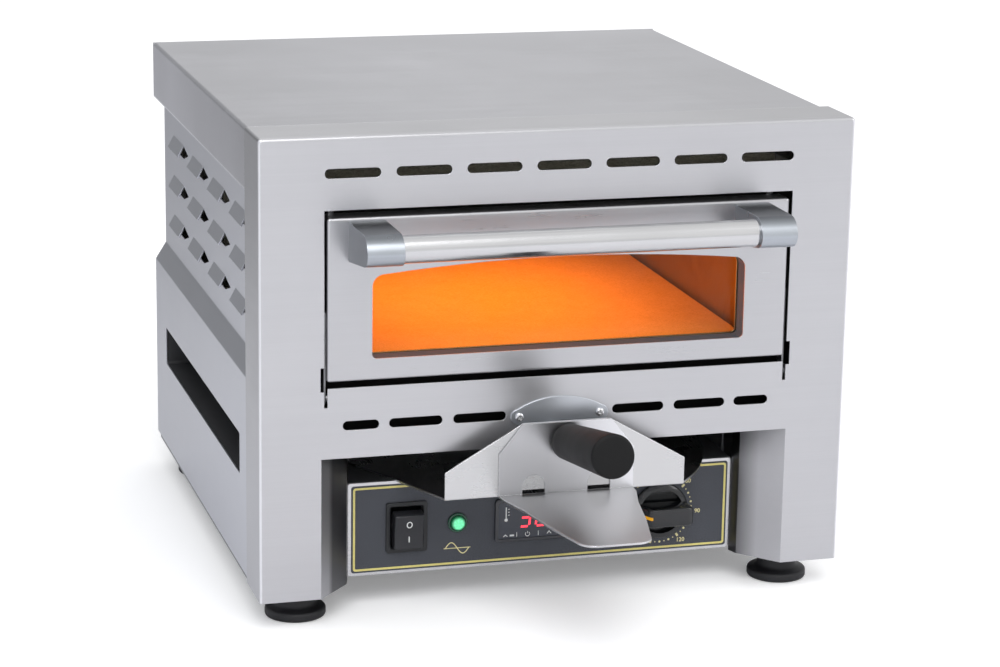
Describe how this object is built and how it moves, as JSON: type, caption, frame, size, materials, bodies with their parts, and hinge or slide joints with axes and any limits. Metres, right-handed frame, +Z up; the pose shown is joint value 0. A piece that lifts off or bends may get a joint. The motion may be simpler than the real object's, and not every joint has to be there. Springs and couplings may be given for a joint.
{
  "type": "countertop pizza oven",
  "caption": "Countertop electric pizza oven in brushed steel with a drop-down glazed door, baking stone, control panel and a stored pizza peel.",
  "frame": {"origin": "on the worktop, under the middle of the whole assembly's box with the peel stored", "axes": "+Z up, +Y from the front to the back, the door and controls face -Y, +X to the right seen from the front"},
  "size_m": [0.45, 0.6356, 0.366],
  "materials": {
    "casing_steel": "brushed stainless sheet",
    "galvanised_sheet": "plain sheet",
    "badge_steel": "satin",
    "screw_steel": "plated",
    "dark_sheet": "satin",
    "chamber_steel": "heat-toned",
    "mineral_wool": "felted",
    "heating_glass": "glowing when on",
    "white_ceramic": "matt",
    "refractory_stone": "sawn",
    "charcoal_film": "fine speckle",
    "black_plastic": "moulded",
    "dark_gloss": "polished",
    "green_lens": "translucent",
    "wire_cover": "matt",
    "cord_rubber": "matt",
    "door_glass": "clear",
    "seal_rubber": "matt",
    "gasket_rope": "braided",
    "bracket_alloy": "satin",
    "bar_steel": "brushed",
    "peel_steel": "brushed",
    "grip_plastic": "fine grain",
    "foot_rubber": "moulded"
  },
  "bodies": {
    "casing": {"badge_plate": "badge_steel", "badge_screws": "screw_steel", "baking_stone": "refractory_stone", "base_pan": "galvanised_sheet", "cable_gland": "black_plastic", "casing_screws": "screw_steel", "chamber_liner": "chamber_steel", "chamber_posts": "galvanised_sheet", "chamber_shelf": "galvanised_sheet", "chamber_supports": "galvanised_sheet", "control_fascia": "casing_steel", "controller_bezel": "dark_gloss", "controller_case": "black_plastic", "controller_window": "dark_gloss", "fascia_overlay": "charcoal_film", "foot_nuts": "screw_steel", "front_frame": "casing_steel", "hand_hold_liners": "dark_sheet", "heating_tubes": "heating_glass", "hinge_brackets": "galvanised_sheet", "hinge_pins": "screw_steel", "insulation_blanket": "mineral_wool", "left_side_panel": "casing_steel", "mains_plug": "cord_rubber", "peel_tray": "galvanised_sheet", "pilot_body": "black_plastic", "pilot_lens": "green_lens", "power_cord": "cord_rubber", "power_relay": "black_plastic", "rear_cover": "casing_steel", "right_side_panel": "casing_steel", "rocker_housing": "black_plastic", "rocker_spindle": "black_plastic", "stone_ledges": "chamber_steel", "temperature_probe": "screw_steel", "terminal_block": "black_plastic", "timer_body": "screw_steel", "top_cover": "casing_steel", "tube_ends": "white_ceramic", "wiring_harness": "wire_cover"},
    "door": {"door_outer_panel": "casing_steel", "door_inner_panel": "casing_steel", "door_glass": "door_glass", "window_seal": "seal_rubber", "door_gasket": "gasket_rope", "handle_brackets": "bracket_alloy", "handle_bar": "bar_steel", "handle_screws": "screw_steel", "hinge_arms": "casing_steel"},
    "peel": {"peel_blade": "peel_steel", "peel_bracket": "peel_steel", "peel_grip": "grip_plastic", "peel_bolt": "screw_steel"},
    "rocker": {"rocker_button": "black_plastic"},
    "timer": {"timer_knob": "dark_gloss", "timer_spindle": "screw_steel"},
    "leveller_front_left": {"foot_front_left": "foot_rubber"},
    "leveller_front_right": {"foot_front_right": "foot_rubber"},
    "leveller_rear_left": {"foot_rear_left": "foot_rubber"},
    "leveller_rear_right": {"foot_rear_right": "foot_rubber"}
  },
  "joints": [
    {"name": "door_hinge", "type": "hinge", "parent": "casing", "child": "door", "pos_m": [0, -0.1628, 0.1725], "axis": [1, 0, 0], "range_deg": [0, 60]},
    {"name": "rocker_tilt", "type": "hinge", "parent": "casing", "child": "rocker", "pos_m": [-0.106, -0.1293, 0.0608], "axis": [-1, 0, 0], "range_deg": [0, 12]},
    {"name": "timer_turn", "type": "hinge", "parent": "casing", "child": "timer", "pos_m": [0.0935, -0.1418, 0.0595], "axis": [0, 1, 0], "range_deg": [0, 315]},
    {"name": "peel_draw", "type": "slide", "parent": "casing", "child": "peel", "axis": [0, -1, 0], "range_m": [0, 0.42]},
    {"name": "level_front_left", "type": "slide", "parent": "casing", "child": "leveller_front_left", "axis": [0, 0, -1], "range_m": [0, 0.008]},
    {"name": "level_front_right", "type": "slide", "parent": "casing", "child": "leveller_front_right", "axis": [0, 0, -1], "range_m": [0, 0.008]},
    {"name": "level_rear_left", "type": "slide", "parent": "casing", "child": "leveller_rear_left", "axis": [0, 0, -1], "range_m": [0, 0.008]},
    {"name": "level_rear_right", "type": "slide", "parent": "casing", "child": "leveller_rear_right", "axis": [0, 0, -1], "range_m": [0, 0.008]}
  ]
}
